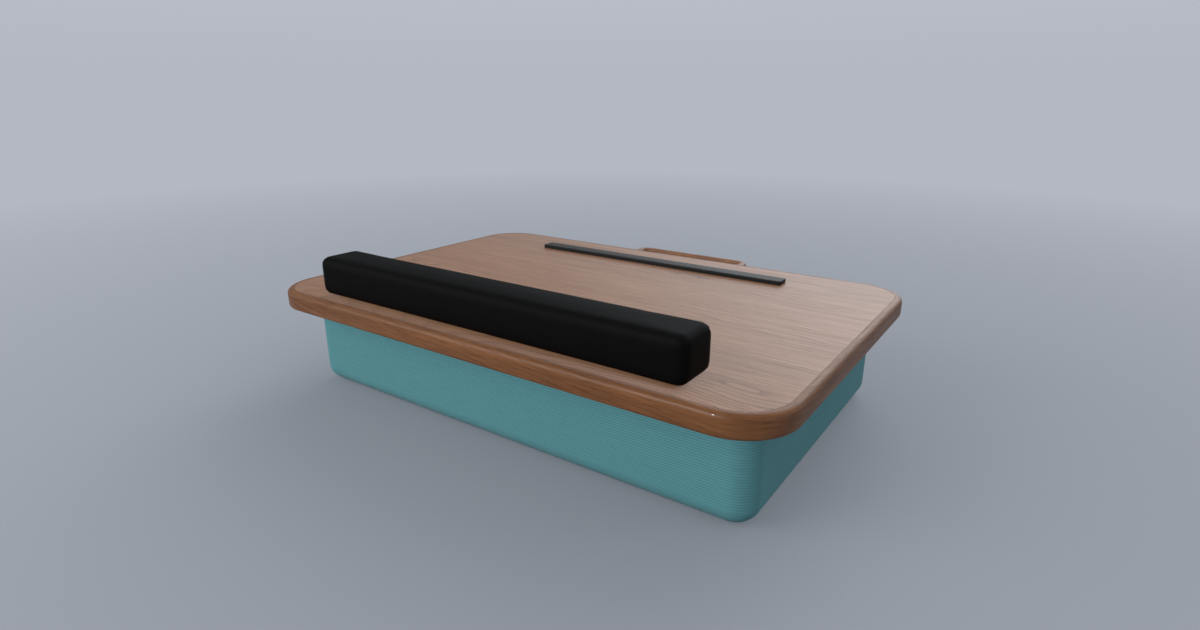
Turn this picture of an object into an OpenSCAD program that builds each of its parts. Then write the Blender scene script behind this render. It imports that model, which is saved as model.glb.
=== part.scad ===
// Lap desk with a lift lid: a wooden writing board hinged over a padded,
// cloth-covered storage box. Front is -Y, the user's side. The origin is the
// centre of the underside, where the desk rests.

/* [Lid board] */
// Overhang of the lid past the box's left and right sides
side_overhang = 25; // [15:0.5:45]
// Overhang of the lid past the box's front and rear
end_overhang = 32; // [31:0.5:50]
// Thickness of the lid
lid_t = 18; // [15:0.5:24]
// Corner radius of the lid in plan
lid_corner = 46; // [30:1:70]
// Rounding of the lid's top edge
lid_round = 4.6; // [2:0.1:6]
// Rounding of the lid's bottom edge
lid_under_round = 3; // [1:0.1:5]
// Thickness of the hardwood lipping round the board
lipping_t = 7; // [6.5:0.5:12]

/* [Padded box] */
// Width of the box over the cloth
box_w = 490; // [440:1:520]
// Depth of the box over the cloth
box_d = 300; // [270:1:320]
// Height from the underside to the lid
box_h = 87; // [70:1:120]
// Corner radius of the box in plan
box_corner = 20; // [18:0.5:30]
// Rounding of the box's bottom edge
box_bottom_round = 16.5; // [10:0.5:17]
// Thickness of the cloth cover
cloth_t = 1.5; // [1:0.1:2]
// Thickness of the foam on the walls
wall_foam_t = 5.5; // [4:0.5:7]
// Thickness of the foam under the floor
floor_foam_t = 12.5; // [8:0.5:20]
// Thickness of the plywood walls
wall_t = 12; // [10:0.5:15]
// Thickness of the plywood floor
floor_t = 5; // [4:0.5:8]
// Depth that the floor is let into the walls
floor_rebate = 6; // [3:0.5:7]
// Thickness of the felt lining
felt_t = 1.5; // [1:0.1:2.5]
// Thickness of the tongues that join walls to posts
tongue_t = 4; // [3:0.5:5]
// Wood left between two tongues in one post
tongue_gap = 0.5; // [0.3:0.1:1]

/* [Rim] */
// Thickness of the rim frame
rim_t = 3; // [2.5:0.5:5]
// Distance of the rim frame's outer edge inside the cloth
rim_inset = 0.5; // [0:0.1:2]
// Rounding of the rim frame's outer top edge
rim_round = 1; // [0.5:0.1:2]
// Height of the bumpers, which carry the closed lid
bumper_h = 1.4; // [1.2:0.1:2]
// Diameter of the bumpers
bumper_d = 10; // [8:0.5:11]
// Gap between the bumpers and the closed lid
bumper_gap = 0.3; // [0.2:0.05:0.4]
// Width of the cloth hem turned in over the walls
hem_w = 8; // [7.5:0.5:9]

/* [Wrist rest] */
// Length of the wrist rest
rest_w = 397; // [340:1:420]
// Depth of the wrist rest
rest_d = 44; // [36:1:60]
// Height of the wrist rest
rest_h = 38; // [25:1:45]
// Rounding of the wrist rest's edges
rest_round = 8.3; // [4:0.1:9]
// Distance from the lid's front edge to the wrist rest
rest_inset = 14.5; // [10:0.5:30]
// Thickness of the backing board inside the wrist rest
rest_board_t = 5; // [4:0.5:8]
// Margin from the pad's flat underside to its board
rest_board_margin = 2; // [1:0.5:5]
// Distance from the board's ends to its end screws
rest_screw_inset = 19; // [12:1:30]
// Wood left above the tips of those screws
rest_screw_cover = 1; // [0.5:0.5:2]

/* [Stop strip] */
// Length of the stop strip
strip_w = 312; // [250:1:360]
// Depth of the stop strip
strip_d = 17; // [14:0.5:25]
// Height of the stop strip above the board
strip_h = 4.2; // [3:0.1:8]
// Distance from the lid's rear edge to the strip
strip_inset = 45; // [30:1:60]
// Rounding of the strip's edges
strip_round = 0.8; // [0.5:0.1:1.5]
// Corner radius of the strip in plan
strip_corner = 2; // [1.5:0.1:4]
// Width of the tongue under the strip
strip_tongue_d = 9; // [6:0.5:12]
// Depth of the tongue in the board
strip_tongue_h = 4; // [3:0.5:6]
// Distance from the strip's ends to the tongue's
strip_tongue_end = 4; // [2:0.5:10]

/* [Carry handle] */
// Width of the handle, outside its arms
handle_w = 151; // [120:1:200]
// Reach of the handle behind the lid
handle_reach = 50.7; // [40:0.1:56]
// Depth of the handle's bar, and width of its arms
handle_bar = 9; // [8:0.5:11]
// Thickness of the handle
handle_t = 9.6; // [8:0.1:11]
// Outer corner radius of the handle in plan
handle_corner = 13.5; // [12:0.5:20]
// Rounding of the handle's section
handle_round = 3; // [1.5:0.5:3.5]
// Diameter of the dowels in the handle's arms
dowel_d = 5; // [4:0.5:6]
// Length of the dowels, half of it in each piece
dowel_l = 32; // [24:1:36]

/* [Hinges] */
// Length of each hinge
hinge_l = 60; // [50:1:70]
// Distance from the box's side to a hinge's centre
hinge_inset = 85; // [65:1:110]
// Width of a leaf, from the pin to its edge
leaf_w = 20; // [18:0.5:22]
// Thickness of a leaf
leaf_t = 1.5; // [1.2:0.1:1.8]
// Outer radius of the knuckles
knuckle_r = 3; // [2.8:0.1:3.2]
// Radius of the hinge pin
pin_r = 1.5; // [1.2:0.1:1.8]
// Running clearance round the pin
pin_clear = 0.05; // [0.03:0.01:0.08]
// Clearance between neighbouring hinge parts
hinge_clear = 0.3; // [0.2:0.05:0.4]
// Thickness of the pin's heads
pin_head_t = 1.2; // [1:0.1:2]
// How much smaller the heads' radius is than the knuckles'
pin_head_step = 0.5; // [0.3:0.1:1]
// Margin of the packing block round a leaf
block_margin = 3; // [2:0.5:4]

/* [Catch and screws] */
// Distance from the box's side to a magnet's centre
magnet_inset = 145; // [100:1:180]
// Diameter of the magnets
magnet_d = 10; // [8:0.5:10]
// Thickness of the magnets
magnet_t = 6; // [5:0.5:8]
// Height that the magnets stand above the rim
magnet_proud = 1.2; // [0.8:0.1:1.2]
// Diameter of the strike plates
strike_d = 16; // [14:0.5:20]
// Thickness of the strike plates
strike_t = 1.2; // [1:0.1:2]
// Radius of a wood screw's shank
screw_r = 1.5; // [1.4:0.1:1.6]
// Radius of a wood screw's countersunk head
screw_head_r = 3; // [2.8:0.1:3.1]
// Height of a wood screw's countersunk head
screw_head_h = 1.5; // [1.2:0.1:1.5]
// Distance of the hinge screws from the pin
hinge_screw_reach = 12; // [11:0.5:13]
// Distance between neighbouring screws in a leaf
hinge_screw_pitch = 20; // [16:1:22]
// Depth of the hinge screws past the leaf
hinge_screw_l = 15; // [13:0.5:15]
// Length of the rim's screws
rim_screw_l = 22; // [16:1:30]
// Distance from the posts to the rim's end screws
rim_screw_inset = 12; // [10:1:15]
// Length of the strike plates' screws
strike_screw_l = 10; // [8:0.5:12]

/* [Hidden] */
$fn = 48;
cut = 1; // how far a cutting shape runs past the face it opens

wood_light = "#b08a72";
wood_dark = "#7c5136";
plywood = "#c8a878";
teal = "#4f8a90";
foam_grey = "#d8d4c8";
felt_grey = "#6b6f72";
pad_black = "#1b1b1b";
rubber_black = "#2c2e30";
steel = "#b9bcc0";

// Heights
floor_z = cloth_t + floor_foam_t;
lining_z = floor_z + floor_t;
rim_top_z = box_h - bumper_h - bumper_gap;
rim_z = rim_top_z - rim_t;
wall_top_z = rim_z - cloth_t;
lid_top_z = box_h + lid_t;

// Plans of the box, from the cloth inwards
foam_w = box_w - 2 * cloth_t;
foam_d = box_d - 2 * cloth_t;
frame_w = foam_w - 2 * wall_foam_t;
frame_d = foam_d - 2 * wall_foam_t;
frame_corner = box_corner - cloth_t - wall_foam_t;
inner_w = frame_w - 2 * wall_t;
inner_d = frame_d - 2 * wall_t;
cavity_w = inner_w - 2 * felt_t;
cavity_d = inner_d - 2 * felt_t;
wall_mid_x = inner_w / 2 + wall_t / 2;
wall_mid_y = inner_d / 2 + wall_t / 2;
tongue_l = (wall_t - tongue_t) / 2 - tongue_gap;
bumper_y = inner_d / 2 - bumper_d;

// Lid
lid_w = box_w + 2 * side_overhang;
lid_d = box_d + 2 * end_overhang;
board_w = lid_w - 2 * lipping_t;
board_d = lid_d - 2 * lipping_t;
board_corner = lid_corner - lipping_t;
rest_y = -lid_d / 2 + rest_inset + rest_d / 2;
rest_board_w = rest_w - 2 * rest_round - 2 * rest_board_margin;
rest_board_d = rest_d - 2 * rest_round - 2 * rest_board_margin;
rest_screw_x = [-1, -1 / 3, 1 / 3, 1] * (rest_board_w / 2 - rest_screw_inset);
rest_screw_l = lid_t + rest_board_t - rest_screw_cover;
strip_y = lid_d / 2 - strip_inset - strip_d / 2;
handle_z = box_h + handle_t / 2;
handle_arm_x = handle_w / 2 - handle_bar / 2;
handle_bend = handle_corner - handle_bar / 2;
handle_bar_y = lid_d / 2 + handle_reach - handle_bar / 2;

// Hinges: the pin lies in the corner between the lid and the rear wall
pin_offset = knuckle_r + hinge_clear;
pin_y = box_d / 2 + pin_offset;
pin_z = box_h - pin_offset;
hinge_xs = [-1, 1] * (box_w / 2 - hinge_inset);
knuckle_count = 5;
knuckle_pitch = hinge_l / knuckle_count;
pin_head_r = knuckle_r - pin_head_step;
block_h = leaf_w - pin_offset + block_margin;
leaf_screws = [-hinge_screw_pitch, 0, hinge_screw_pitch];

// Catch
magnet_xs = [-1, 1] * (box_w / 2 - magnet_inset);

// A rounded rectangle in plan, made of two squares and four discs.
module rounded_plan(w, d, corner) {
    square([w - 2 * corner, d], center = true);
    square([w, d - 2 * corner], center = true);
    for (x = [-1, 1], y = [-1, 1])
        translate([x * (w / 2 - corner), y * (d / 2 - corner)]) circle(corner);
}

// One side of a slab in section, from its middle out to a rounded edge.
module edge_section(reach, h, top_r, bottom_r) {
    difference() {
        square([reach, h]);
        if (top_r > 0)
            translate([reach - top_r, h - top_r]) difference() {
                square(top_r + cut);
                circle(top_r);
            }
        if (bottom_r > 0)
            translate([reach - bottom_r, bottom_r]) difference() {
                translate([0, -bottom_r - cut]) square(bottom_r + cut);
                circle(bottom_r);
            }
    }
}

// The same section, mirrored to both sides and run along Y.
module rounded_run(w, length, h, top_r, bottom_r) {
    rotate([90, 0, 0]) linear_extrude(length, center = true) {
        edge_section(w / 2, h, top_r, bottom_r);
        mirror([1, 0]) edge_section(w / 2, h, top_r, bottom_r);
    }
}

// A slab with rounded corners in plan and rounded top and bottom edges.
module rounded_slab(w, d, h, corner, top_r = 0, bottom_r = 0) {
    rounded_run(w, d - 2 * corner, h, top_r, bottom_r);
    rotate(90) rounded_run(d, w - 2 * corner, h, top_r, bottom_r);
    for (x = [-1, 1], y = [-1, 1])
        translate([x * (w / 2 - corner), y * (d / 2 - corner), 0])
            rotate_extrude() edge_section(corner, h, top_r, bottom_r);
}

// A straight-sided slab with rounded corners in plan.
module plain_slab(w, d, h, corner) {
    linear_extrude(h) rounded_plan(w, d, corner);
}

// A box from z to z + h, centred in plan.
module centred_box(w, d, z, h) {
    translate([-w / 2, -d / 2, z]) cube([w, d, h]);
}

// A countersunk wood screw, head up at the origin, pointing down.
module wood_screw(length) {
    translate([0, 0, -screw_head_h])
        cylinder(h = screw_head_h, r1 = screw_r, r2 = screw_head_r);
    translate([0, 0, -length]) cylinder(h = length - screw_head_h / 2, r = screw_r);
}

// Lid board, with the strip's groove and the fixings' holes.
module lid_board() {
    color(wood_light) difference() {
        translate([0, 0, box_h]) plain_slab(board_w, board_d, lid_t, board_corner);
        strip_tongue();
        all_dowels();
        all_rest_screws();
        all_hinge_lid_screws();
        all_strike_plates();
        all_strike_screws();
    }
}

module edge_lipping() {
    color(wood_dark) difference() {
        translate([0, 0, box_h])
            rounded_slab(lid_w, lid_d, lid_t, lid_corner, lid_round, lid_under_round);
        translate([0, 0, box_h - cut])
            plain_slab(board_w, board_d, lid_t + 2 * cut, board_corner);
        handle_body(cut);
        handle_housings();
    }
}

// Wrist rest: a foam pad wrapped round a backing board.
module rest_board_shape() {
    translate([0, rest_y, lid_top_z])
        plain_slab(rest_board_w, rest_board_d, rest_board_t, rest_board_d / 4);
}

module wrist_rest_pad() {
    color(pad_black) difference() {
        translate([0, rest_y, lid_top_z])
            rounded_slab(rest_w, rest_d, rest_h, rest_round, rest_round, rest_round);
        rest_board_shape();
    }
}

module wrist_rest_board() {
    color(plywood) difference() {
        rest_board_shape();
        all_rest_screws();
    }
}

module all_rest_screws() {
    for (x = rest_screw_x)
        translate([x, rest_y, box_h]) rotate([180, 0, 0]) wood_screw(rest_screw_l);
}

module wrist_rest_screws() {
    color(steel) all_rest_screws();
}

// Rubber strip with a tongue that is pressed into the board's groove.
module strip_tongue() {
    translate([0, strip_y, lid_top_z - strip_tongue_h])
        plain_slab(strip_w - 2 * strip_tongue_end, strip_tongue_d,
                   strip_tongue_h, strip_tongue_d / 3);
}

module stop_strip() {
    color(rubber_black) {
        translate([0, strip_y, lid_top_z])
            rounded_slab(strip_w, strip_d, strip_h, strip_corner, strip_round, 0);
        strip_tongue();
    }
}

// Section of the handle's bar, centred.
module handle_section() {
    square([handle_bar - 2 * handle_round, handle_t], center = true);
    square([handle_bar, handle_t - 2 * handle_round], center = true);
    for (x = [-1, 1], y = [-1, 1])
        translate([x * (handle_bar / 2 - handle_round), y * (handle_t / 2 - handle_round)])
            circle(handle_round);
}

// D-shaped handle: a bar, two bends, and two arms let in through the lipping.
// The housings are cut a little past the arms' ends.
module handle_body(past = 0) {
    bar_l = handle_w - 2 * handle_corner;
    bend_y = lid_d / 2 + handle_reach - handle_corner;
    translate([0, 0, handle_z]) {
        translate([0, handle_bar_y, 0]) rotate([90, 0, 90])
            linear_extrude(bar_l, center = true) handle_section();
        for (side = [-1, 1]) {
            translate([side * bar_l / 2, bend_y, 0]) rotate(side > 0 ? 0 : 90)
                rotate_extrude(angle = 90) translate([handle_bend, 0]) handle_section();
            translate([side * handle_arm_x, bend_y, 0]) rotate([90, 0, 0])
                linear_extrude(bend_y - board_d / 2 + past) handle_section();
        }
    }
}

// Slots in the lipping, open below, that the arms are laid into.
module handle_housings() {
    for (side = [-1, 1])
        translate([side * handle_arm_x - handle_bar / 2, board_d / 2 - cut, box_h - cut])
            cube([handle_bar, lipping_t + 2 * cut, handle_t / 2 + cut]);
}

module carry_handle() {
    color(wood_dark) difference() {
        handle_body();
        all_dowels();
    }
}

// Dowels lie half in the board and half in the handle's arms.
module all_dowels() {
    for (side = [-1, 1])
        translate([side * handle_arm_x, board_d / 2 - dowel_l / 2, handle_z])
            rotate([-90, 0, 0]) cylinder(h = dowel_l, r = dowel_d / 2);
}

module handle_dowels() {
    color(plywood) all_dowels();
}

// Knuckles whose number leaves this remainder when halved: 0 box, 1 lid.
module knuckles(parity, radius, grow) {
    for (i = [parity : 2 : knuckle_count - 1])
        translate([(i - (knuckle_count - 1) / 2) * knuckle_pitch, pin_y, pin_z])
            rotate([0, 90, 0])
                cylinder(h = knuckle_pitch + grow, r = radius, center = true);
}

module pin_bore() {
    translate([0, pin_y, pin_z]) rotate([0, 90, 0])
        cylinder(h = hinge_l + 2 * cut, r = pin_r + pin_clear, center = true);
}

// Screws of one hinge, through the lid leaf and through the box leaf.
module hinge_screws_up() {
    for (x = leaf_screws)
        translate([x, pin_y + hinge_screw_reach, box_h - leaf_t])
            rotate([180, 0, 0]) wood_screw(hinge_screw_l);
}

module hinge_screws_in() {
    for (x = leaf_screws)
        translate([x, box_d / 2 + leaf_t, pin_z - hinge_screw_reach])
            rotate([-90, 0, 0]) wood_screw(hinge_screw_l);
}

// Leaf under the lid's rear overhang.
module hinge_lid_leaf(x) {
    color(steel) translate([x, 0, 0]) difference() {
        union() {
            difference() {
                translate([-hinge_l / 2, pin_y, box_h - leaf_t]) cube([hinge_l, leaf_w, leaf_t]);
                knuckles(0, pin_offset, 2 * hinge_clear);
            }
            knuckles(1, knuckle_r, -hinge_clear);
        }
        pin_bore();
        hinge_screws_up();
    }
}

// Leaf on the rear of the box.
module hinge_box_leaf(x) {
    color(steel) translate([x, 0, 0]) difference() {
        union() {
            difference() {
                translate([-hinge_l / 2, box_d / 2, pin_z - leaf_w]) cube([hinge_l, leaf_t, leaf_w]);
                knuckles(1, pin_offset, 2 * hinge_clear);
            }
            knuckles(0, knuckle_r, -hinge_clear);
        }
        pin_bore();
        hinge_screws_in();
    }
}

module hinge_pin(x) {
    barrel_l = hinge_l - hinge_clear;
    color(steel) translate([x, pin_y, pin_z]) rotate([0, 90, 0]) {
        cylinder(h = barrel_l, r = pin_r, center = true);
        for (end = [-1, 1])
            translate([0, 0, end * (barrel_l + pin_head_t) / 2])
                cylinder(h = pin_head_t, r = pin_head_r, center = true);
    }
}

module all_hinge_lid_screws() {
    for (x = hinge_xs) translate([x, 0, 0]) hinge_screws_up();
}

module all_hinge_box_screws() {
    for (x = hinge_xs) translate([x, 0, 0]) hinge_screws_in();
}

module hinge_lid_screws() {
    color(steel) all_hinge_lid_screws();
}

module hinge_box_screws() {
    color(steel) all_hinge_box_screws();
}

// Hard packing let into the foam behind each box leaf.
module all_hinge_blocks() {
    for (x = hinge_xs)
        translate([x - hinge_l / 2 - block_margin, frame_d / 2, wall_top_z - block_h])
            cube([hinge_l + 2 * block_margin, wall_foam_t, block_h]);
}

module hinge_blocks() {
    color(plywood) difference() {
        all_hinge_blocks();
        all_hinge_box_screws();
    }
}

// Catch: magnets in the front of the rim, steel plates under the lid.
module all_magnets() {
    for (x = magnet_xs)
        translate([x, -wall_mid_y, rim_top_z + magnet_proud - magnet_t])
            cylinder(h = magnet_t, r = magnet_d / 2);
}

module catch_magnets() {
    color(steel) all_magnets();
}

module all_strike_plates() {
    for (x = magnet_xs)
        translate([x, -wall_mid_y, box_h]) cylinder(h = strike_t, r = strike_d / 2);
}

module all_strike_screws() {
    for (x = magnet_xs)
        translate([x, -wall_mid_y, box_h]) rotate([180, 0, 0]) wood_screw(strike_screw_l);
}

module strike_plates() {
    color(steel) difference() {
        all_strike_plates();
        all_strike_screws();
    }
}

module strike_plate_screws() {
    color(steel) all_strike_screws();
}

// The wooden frame of the box before it is cut into walls and posts.
module frame_ring() {
    difference() {
        translate([0, 0, floor_z])
            plain_slab(frame_w, frame_d, wall_top_z - floor_z, frame_corner);
        centred_box(inner_w, inner_d, floor_z - cut, wall_top_z - floor_z + 2 * cut);
        floor_slab();
        all_rim_screws();
        all_magnets();
        all_hinge_box_screws();
    }
}

module floor_slab() {
    centred_box(inner_w + 2 * floor_rebate, inner_d + 2 * floor_rebate, floor_z, floor_t);
}

// Tongues on the walls' ends: reach is how far along the wall they run.
module long_wall_zone(reach) {
    for (y = [-1, 1])
        translate([0, y * wall_mid_y, 0]) centred_box(2 * reach, tongue_t, 0, box_h);
}

module side_wall_zone(reach) {
    for (x = [-1, 1])
        translate([x * wall_mid_x, 0, 0]) centred_box(tongue_t, 2 * reach, 0, box_h);
}

module long_wall(side) {
    color(plywood) intersection() {
        frame_ring();
        union() {
            centred_box(inner_w, frame_d, 0, box_h);
            long_wall_zone(inner_w / 2 + tongue_l);
        }
        translate([-box_w / 2, side > 0 ? 0 : -box_d / 2, 0]) cube([box_w, box_d / 2, box_h]);
    }
}

module side_wall(side) {
    color(plywood) intersection() {
        frame_ring();
        union() {
            centred_box(frame_w, inner_d, 0, box_h);
            side_wall_zone(inner_d / 2 + tongue_l);
        }
        translate([side > 0 ? 0 : -box_w / 2, -box_d / 2, 0]) cube([box_w / 2, box_d, box_h]);
    }
}

module corner_posts() {
    color(plywood) difference() {
        frame_ring();
        centred_box(inner_w, box_d, 0, box_h);
        centred_box(box_w, inner_d, 0, box_h);
        long_wall_zone(inner_w / 2 + tongue_l);
        side_wall_zone(inner_d / 2 + tongue_l);
    }
}

module floor_panel() {
    color(plywood) floor_slab();
}

// Felt glued to the walls and floor of the storage space.
module felt_lining() {
    color(felt_grey) difference() {
        centred_box(inner_w, inner_d, lining_z, rim_z - lining_z);
        centred_box(cavity_w, cavity_d, lining_z + felt_t, box_h);
    }
}

// The quarter of the box in plan that belongs to its front, rear, left or
// right side: [0, -1], [0, 1], [-1, 0] or [1, 0]. The corners are mitred.
module mitred_quarter(side) {
    ridge = box_w / 2 - box_d / 2;
    linear_extrude(box_h)
        if (side[0] == 0)
            polygon([[-ridge, 0], [ridge, 0], [box_w / 2, side[1] * box_d / 2],
                     [-box_w / 2, side[1] * box_d / 2]]);
        else
            polygon([[side[0] * ridge, 0], [side[0] * box_w / 2, -box_d / 2],
                     [side[0] * box_w / 2, box_d / 2]]);
}

// Mitred rails that cover the walls' tops and clamp the cloth's hem.
module rim_rail(side) {
    rim_w = box_w - 2 * rim_inset;
    rim_d = box_d - 2 * rim_inset;
    color(wood_dark) intersection() {
        difference() {
            translate([0, 0, rim_z])
                rounded_slab(rim_w, rim_d, rim_t, box_corner - rim_inset, rim_round, 0);
            centred_box(cavity_w, cavity_d, rim_z - cut, rim_t + 2 * cut);
            all_rim_screws();
            all_magnets();
        }
        mitred_quarter(side);
    }
}

module all_rim_screws() {
    long_end = inner_w / 2 - rim_screw_inset;
    for (x = [-long_end, 0, long_end], y = [-wall_mid_y, wall_mid_y])
        translate([x, y, rim_top_z]) wood_screw(rim_screw_l);
    for (x = [-wall_mid_x, wall_mid_x], y = [-inner_d / 4, inner_d / 4])
        translate([x, y, rim_top_z]) wood_screw(rim_screw_l);
}

module rim_screws() {
    color(steel) all_rim_screws();
}

module lid_bumpers() {
    color(rubber_black)
        for (x = [-wall_mid_x, wall_mid_x], y = [-bumper_y, bumper_y])
            translate([x, y, rim_top_z]) cylinder(h = bumper_h, r = bumper_d / 2);
}

// Foam between the frame and the cloth: a floor piece and four mitred strips.
module foam_body() {
    translate([0, 0, cloth_t])
        rounded_slab(foam_w, foam_d, wall_top_z - cloth_t,
                     box_corner - cloth_t, 0, box_bottom_round - cloth_t);
}

module floor_cushion() {
    color(foam_grey) intersection() {
        foam_body();
        centred_box(box_w, box_d, 0, floor_z);
    }
}

module wall_foam(side) {
    color(foam_grey) intersection() {
        difference() {
            foam_body();
            centred_box(box_w, box_d, 0, floor_z);
            translate([0, 0, floor_z - cut])
                plain_slab(frame_w, frame_d, box_h, frame_corner);
            all_hinge_blocks();
        }
        mitred_quarter(side);
    }
}

// Cloth over the foam, turned in under the rim frame. A seam where the
// bottom's rounding ends joins the base panel to the side band.
module cover_body() {
    difference() {
        rounded_slab(box_w, box_d, rim_z, box_corner, 0, box_bottom_round);
        foam_body();
        centred_box(frame_w - 2 * hem_w, frame_d - 2 * hem_w, floor_z, box_h);
        all_rim_screws();
        all_magnets();
        all_hinge_box_screws();
    }
}

module below_seam() {
    centred_box(box_w + 2 * cut, box_d + 2 * cut, -cut, box_bottom_round + cut);
}

module cover_base() {
    color(teal) intersection() {
        cover_body();
        below_seam();
    }
}

module cover_sides() {
    color(teal) difference() {
        cover_body();
        below_seam();
    }
}

lid_board();
edge_lipping();
wrist_rest_pad();
wrist_rest_board();
wrist_rest_screws();
stop_strip();
carry_handle();
handle_dowels();
hinge_lid_leaf(hinge_xs[0]);  // hinge_lid_leaf_left
hinge_lid_leaf(hinge_xs[1]);  // hinge_lid_leaf_right
hinge_lid_screws();
strike_plates();
strike_plate_screws();
long_wall(-1);  // front_wall
long_wall(1);  // rear_wall
side_wall(-1);  // left_wall
side_wall(1);  // right_wall
corner_posts();
floor_panel();
felt_lining();
rim_rail([0, -1]);  // rim_rail_front
rim_rail([0, 1]);  // rim_rail_rear
rim_rail([-1, 0]);  // rim_rail_left
rim_rail([1, 0]);  // rim_rail_right
rim_screws();
lid_bumpers();
catch_magnets();
floor_cushion();
wall_foam([0, -1]);  // foam_front
wall_foam([0, 1]);  // foam_rear
wall_foam([-1, 0]);  // foam_left
wall_foam([1, 0]);  // foam_right
cover_base();
cover_sides();
hinge_blocks();
hinge_box_leaf(hinge_xs[0]);  // hinge_box_leaf_left
hinge_box_leaf(hinge_xs[1]);  // hinge_box_leaf_right
hinge_box_screws();
hinge_pin(hinge_xs[0]);  // hinge_pin_left
hinge_pin(hinge_xs[1]);  // hinge_pin_right
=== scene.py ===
# A lap desk with a lift lid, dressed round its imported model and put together
# in the order of the real one: camera and studio first, then the lid with all
# that is on it, then the padded box, and the hinges and the catch last.
import math

import bpy
from mathutils import Matrix, Vector


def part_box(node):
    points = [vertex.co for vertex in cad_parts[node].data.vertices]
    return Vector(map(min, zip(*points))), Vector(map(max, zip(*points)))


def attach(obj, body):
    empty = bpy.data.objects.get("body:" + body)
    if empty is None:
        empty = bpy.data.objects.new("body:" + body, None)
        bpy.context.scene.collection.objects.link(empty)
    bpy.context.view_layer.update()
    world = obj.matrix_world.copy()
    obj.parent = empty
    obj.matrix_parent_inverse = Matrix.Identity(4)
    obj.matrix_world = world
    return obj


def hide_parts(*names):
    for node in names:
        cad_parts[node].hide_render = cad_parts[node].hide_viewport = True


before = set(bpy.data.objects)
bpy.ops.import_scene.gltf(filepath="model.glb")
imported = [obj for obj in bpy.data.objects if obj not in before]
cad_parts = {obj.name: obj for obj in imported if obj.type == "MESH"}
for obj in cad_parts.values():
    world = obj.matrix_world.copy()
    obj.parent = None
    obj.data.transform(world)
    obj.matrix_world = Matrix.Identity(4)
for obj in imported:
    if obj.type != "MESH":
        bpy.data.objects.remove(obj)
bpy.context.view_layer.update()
mm = 0.001

# Camera. It stands at the front right, a little above the lid, and looks down
# across the board towards the far left corner, with a wide lens.
camera_place = Vector((0.3895, -0.5360, 0.2951))
camera_heading = math.radians(34.945)
camera_dip = math.radians(18.263)
camera_lens_mm = 20.42
camera_sensor_mm = 36.0

bpy.ops.object.select_all(action="DESELECT")
bpy.ops.object.camera_add(location=camera_place)
camera = bpy.context.object
camera.name = "camera"
look = Vector((
    -math.sin(camera_heading) * math.cos(camera_dip),
    math.cos(camera_heading) * math.cos(camera_dip),
    -math.sin(camera_dip),
))
camera.rotation_euler = look.to_track_quat("-Z", "Y").to_euler()
camera.data.lens = camera_lens_mm
camera.data.sensor_width = camera_sensor_mm
camera.data.clip_start = 0.01
bpy.context.scene.camera = camera
bpy.context.scene.view_settings.view_transform = "Standard"

# Studio. A pale floor that runs back to a plain pale backdrop, a broad lamp
# over the user's left shoulder with an even fill beside it, and a glow behind
# the desk that glazes the lacquer. The camera sees a plain graded backdrop.
floor_half = 40.0
floor_fade_from = 0.25
floor_fade_to = 2.0
floor_colour = (0.298, 0.321, 0.362, 1.0)
backdrop_low = (0.455, 0.480, 0.540, 1.0)
backdrop_high = (0.52, 0.54, 0.60, 1.0)
backdrop_top = 0.25
sky_colour = (0.92, 0.96, 1.0, 1.0)
sky_level = 0.34
glow_level = 3.2
glow_focus = 13.0
glow_aim = (-0.075, 0.863, 0.50)
fill_from = (-0.255, -0.780, 0.570)
side_fill_from = (0.90, 0.25, 0.36)


def area_lamp(name, place, target, width, height, watts, colour=(1.0, 1.0, 1.0)):
    bpy.ops.object.light_add(type="AREA", location=place)
    lamp = bpy.context.object
    lamp.name = name
    lamp.rotation_euler = (Vector(target) - Vector(place)).to_track_quat("-Z", "Y").to_euler()
    lamp.data.shape = "RECTANGLE"
    lamp.data.size = width
    lamp.data.size_y = height
    lamp.data.energy = watts
    lamp.data.color = colour
    return lamp


def even_fill(name, place, watts, spread):
    """A distant lamp that casts no shadow, so a side is lit evenly."""
    bpy.ops.object.light_add(type="SUN", location=place)
    lamp = bpy.context.object
    lamp.name = name
    lamp.rotation_euler = Vector(place).to_track_quat("Z", "Y").to_euler()
    lamp.data.energy = watts
    lamp.data.angle = math.radians(spread)
    lamp.data.use_shadow = False


area_lamp("key_lamp", (-1.35, -1.7, 1.1), (0, 0, 0.05), 1.6, 1.2, 17.0, (1.0, 0.985, 0.96))
even_fill("front_fill", fill_from, 1.78, 1)
even_fill("side_fill", side_fill_from, 0.45, 60)


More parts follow.
